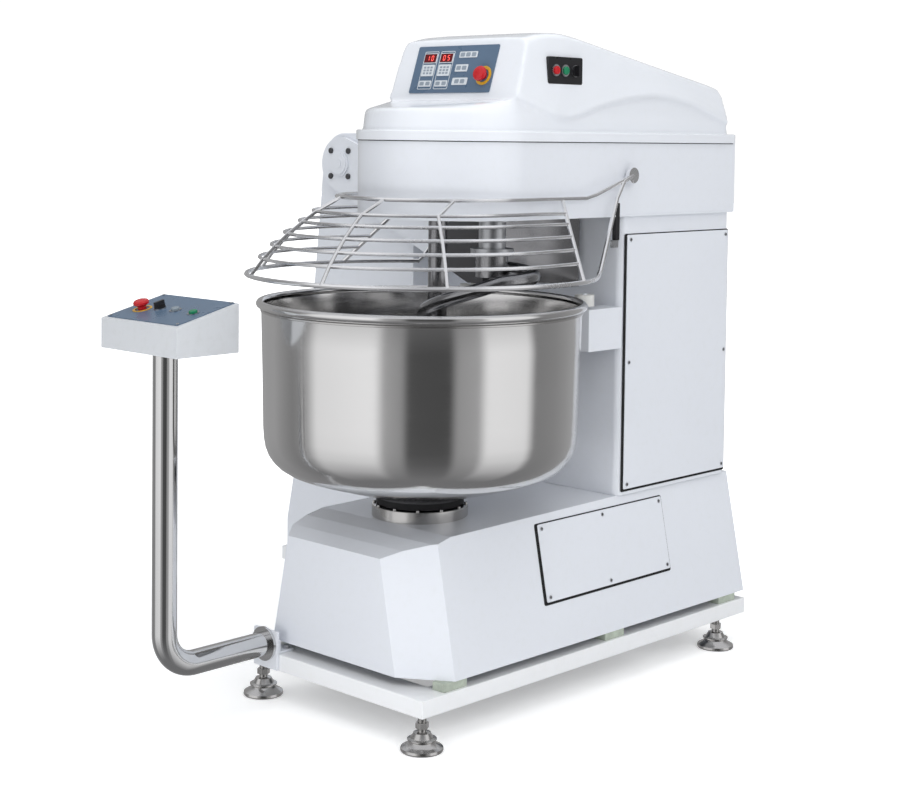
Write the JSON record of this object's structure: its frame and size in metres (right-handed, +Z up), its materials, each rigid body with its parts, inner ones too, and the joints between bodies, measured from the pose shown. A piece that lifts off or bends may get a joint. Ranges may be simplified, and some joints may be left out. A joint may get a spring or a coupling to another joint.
{
  "type": "self-tipping spiral dough mixer",
  "caption": "Spiral dough mixer on a levelled base frame; a side tower lifts and tips the whole mixer to pour its turning bowl, with a wire guard and a remote control on a post.",
  "frame": {"origin": "on the floor under the centre of the front right levelling foot", "axes": "+X the operator's right, -Y the front with the bowl, +Z up"},
  "size_m": [1.585, 1.711, 1.718],
  "materials": {
    "white_paint": "gloss",
    "white_cover": "gloss",
    "polished_steel": "polished",
    "brushed_steel": "satin",
    "dark_steel": "satin",
    "cast_hub": "matt",
    "bronze": "satin",
    "belt_rubber": "matt",
    "pad_rubber": "matt",
    "motor_paint": "satin",
    "panel_blue": "satin",
    "red_plastic": "gloss",
    "black_plastic": "matt",
    "grey_plastic": "matt",
    "green_plastic": "gloss",
    "key_white": "satin",
    "display_red": "gloss",
    "roller_nylon": "matt"
  },
  "bodies": {
    "stand": {"base_frame": "white_paint", "foot_bells": "polished_steel", "foot_nuts": "brushed_steel", "rest_pads": "pad_rubber", "tower_shell": "white_paint", "tower_door": "white_paint", "tilt_bushes": "bronze", "ram_barrel": "dark_steel", "power_pack": "motor_paint", "pipe_bracket": "white_paint", "bracket_bolts": "brushed_steel", "pendant_pipe": "polished_steel", "pendant_box": "grey_plastic", "pendant_panel": "panel_blue", "cover_screws": "brushed_steel"},
    "remote_stop": {"pendant_stop": "red_plastic"},
    "remote_selector": {"pendant_selector": "black_plastic"},
    "remote_up": {"pendant_up": "grey_plastic"},
    "remote_down": {"pendant_down": "green_plastic"},
    "ram": {"ram_rod": "polished_steel", "lift_chain": "dark_steel"},
    "mixer": {"tilt_yoke": "white_paint", "tilt_shaft": "brushed_steel", "tilt_sprocket": "dark_steel", "yoke_bolts": "dark_steel", "plinth_shell": "white_paint", "column_shell": "white_paint", "head_shell": "white_paint", "head_floor": "brushed_steel", "top_cover": "white_cover", "side_panel": "white_paint", "access_panel": "white_paint", "panel_screws": "brushed_steel", "bowl_pedestal": "white_paint", "bearing_plate": "brushed_steel", "bowl_bearing": "brushed_steel", "bowl_motor": "motor_paint", "bowl_belt": "belt_rubber", "spiral_motor": "motor_paint", "spiral_belt": "belt_rubber", "spiral_bearing": "brushed_steel", "breaker_bar": "polished_steel", "roller_brackets": "white_paint", "control_panel": "panel_blue", "panel_displays": "display_red", "panel_keys": "key_white", "switch_plate": "black_plastic"},
    "bowl": {"bowl": "polished_steel", "bowl_hub": "cast_hub"},
    "bowl_pulley": {"motor_pulley": "brushed_steel"},
    "roller_right": {"guide_roller_right": "roller_nylon"},
    "roller_left": {"guide_roller_left": "roller_nylon"},
    "spiral": {"spiral_tool": "polished_steel", "spiral_shaft": "brushed_steel"},
    "spiral_pulley": {"spiral_drive": "brushed_steel"},
    "guard": {"guard_cage": "polished_steel"},
    "head_stop": {"head_stop": "red_plastic"},
    "head_start": {"start_button": "green_plastic"},
    "head_halt": {"stop_button": "red_plastic"},
    "head_selector": {"head_selector": "black_plastic"}
  },
  "joints": [
    {"name": "tip", "type": "hinge", "parent": "stand", "child": "mixer", "pos_m": [-1.141, 0.981, 1.37], "axis": [0, -1, 0], "range_deg": [0, 110]},
    {"name": "ram_slide", "type": "slide", "parent": "stand", "child": "ram", "axis": [0, 0, -1], "range_m": [0, 0.14]},
    {"name": "bowl_spin", "type": "hinge", "parent": "mixer", "child": "bowl", "pos_m": [-0.291, 0.279, 0.5], "axis": [0, 0, 1], "continuous": true},
    {"name": "bowl_pulley_spin", "type": "hinge", "parent": "mixer", "child": "bowl_pulley", "pos_m": [-0.291, 0.956, 0.32], "axis": [0, 0, 1], "continuous": true},
    {"name": "roller_right_spin", "type": "hinge", "parent": "mixer", "child": "roller_right", "pos_m": [-0.08, 0.681, 1.027], "axis": [0, 0, 1], "continuous": true},
    {"name": "roller_left_spin", "type": "hinge", "parent": "mixer", "child": "roller_left", "pos_m": [-0.502, 0.681, 1.027], "axis": [0, 0, 1], "continuous": true},
    {"name": "spiral_spin", "type": "hinge", "parent": "mixer", "child": "spiral", "pos_m": [-0.165, 0.406, 1.2], "axis": [0, 0, 1], "continuous": true},
    {"name": "spiral_pulley_spin", "type": "hinge", "parent": "mixer", "child": "spiral_pulley", "pos_m": [-0.231, 1.076, 1.33], "axis": [0, 0, 1], "continuous": true},
    {"name": "guard_lift", "type": "hinge", "parent": "mixer", "child": "guard", "pos_m": [-0.291, 0.806, 1.36], "axis": [-1, 0, 0], "range_deg": [0, 65]},
    {"name": "remote_stop_press", "type": "slide", "parent": "stand", "child": "remote_stop", "axis": [0, 0.2413, -0.9704], "range_m": [0, 0.004], "stiffness_N_per_m": 400},
    {"name": "remote_up_press", "type": "slide", "parent": "stand", "child": "remote_up", "axis": [0, 0.2413, -0.9704], "range_m": [0, 0.004], "stiffness_N_per_m": 400},
    {"name": "remote_down_press", "type": "slide", "parent": "stand", "child": "remote_down", "axis": [0, 0.2413, -0.9704], "range_m": [0, 0.004], "stiffness_N_per_m": 400},
    {"name": "remote_selector_turn", "type": "hinge", "parent": "stand", "child": "remote_selector", "pos_m": [-0.643, -0.2899, 1.02165], "axis": [0, -0.2413, 0.9704], "range_deg": [-45, 45]},
    {"name": "head_stop_press", "type": "slide", "parent": "mixer", "child": "head_stop", "axis": [0, 0.9493, -0.3143], "range_m": [0, 0.004], "stiffness_N_per_m": 400},
    {"name": "start_press", "type": "slide", "parent": "mixer", "child": "head_start", "axis": [-1, 0, 0], "range_m": [0, 0.004], "stiffness_N_per_m": 400},
    {"name": "halt_press", "type": "slide", "parent": "mixer", "child": "head_halt", "axis": [-1, 0, 0], "range_m": [0, 0.004], "stiffness_N_per_m": 400},
    {"name": "head_selector_turn", "type": "hinge", "parent": "mixer", "child": "head_selector", "pos_m": [-0.058, 0.597, 1.632], "axis": [1, 0, 0], "range_deg": [-45, 45]}
  ],
  "couplings": [
    {"joint": "ram_slide", "follows": "tip", "m_per_rad": 0.07},
    {"joint": "bowl_pulley_spin", "follows": "bowl_spin", "ratio": 2.8571},
    {"joint": "roller_right_spin", "follows": "bowl_spin", "ratio": -16.423},
    {"joint": "roller_left_spin", "follows": "bowl_spin", "ratio": -16.423},
    {"joint": "spiral_pulley_spin", "follows": "spiral_spin", "ratio": 2.2619}
  ]
}
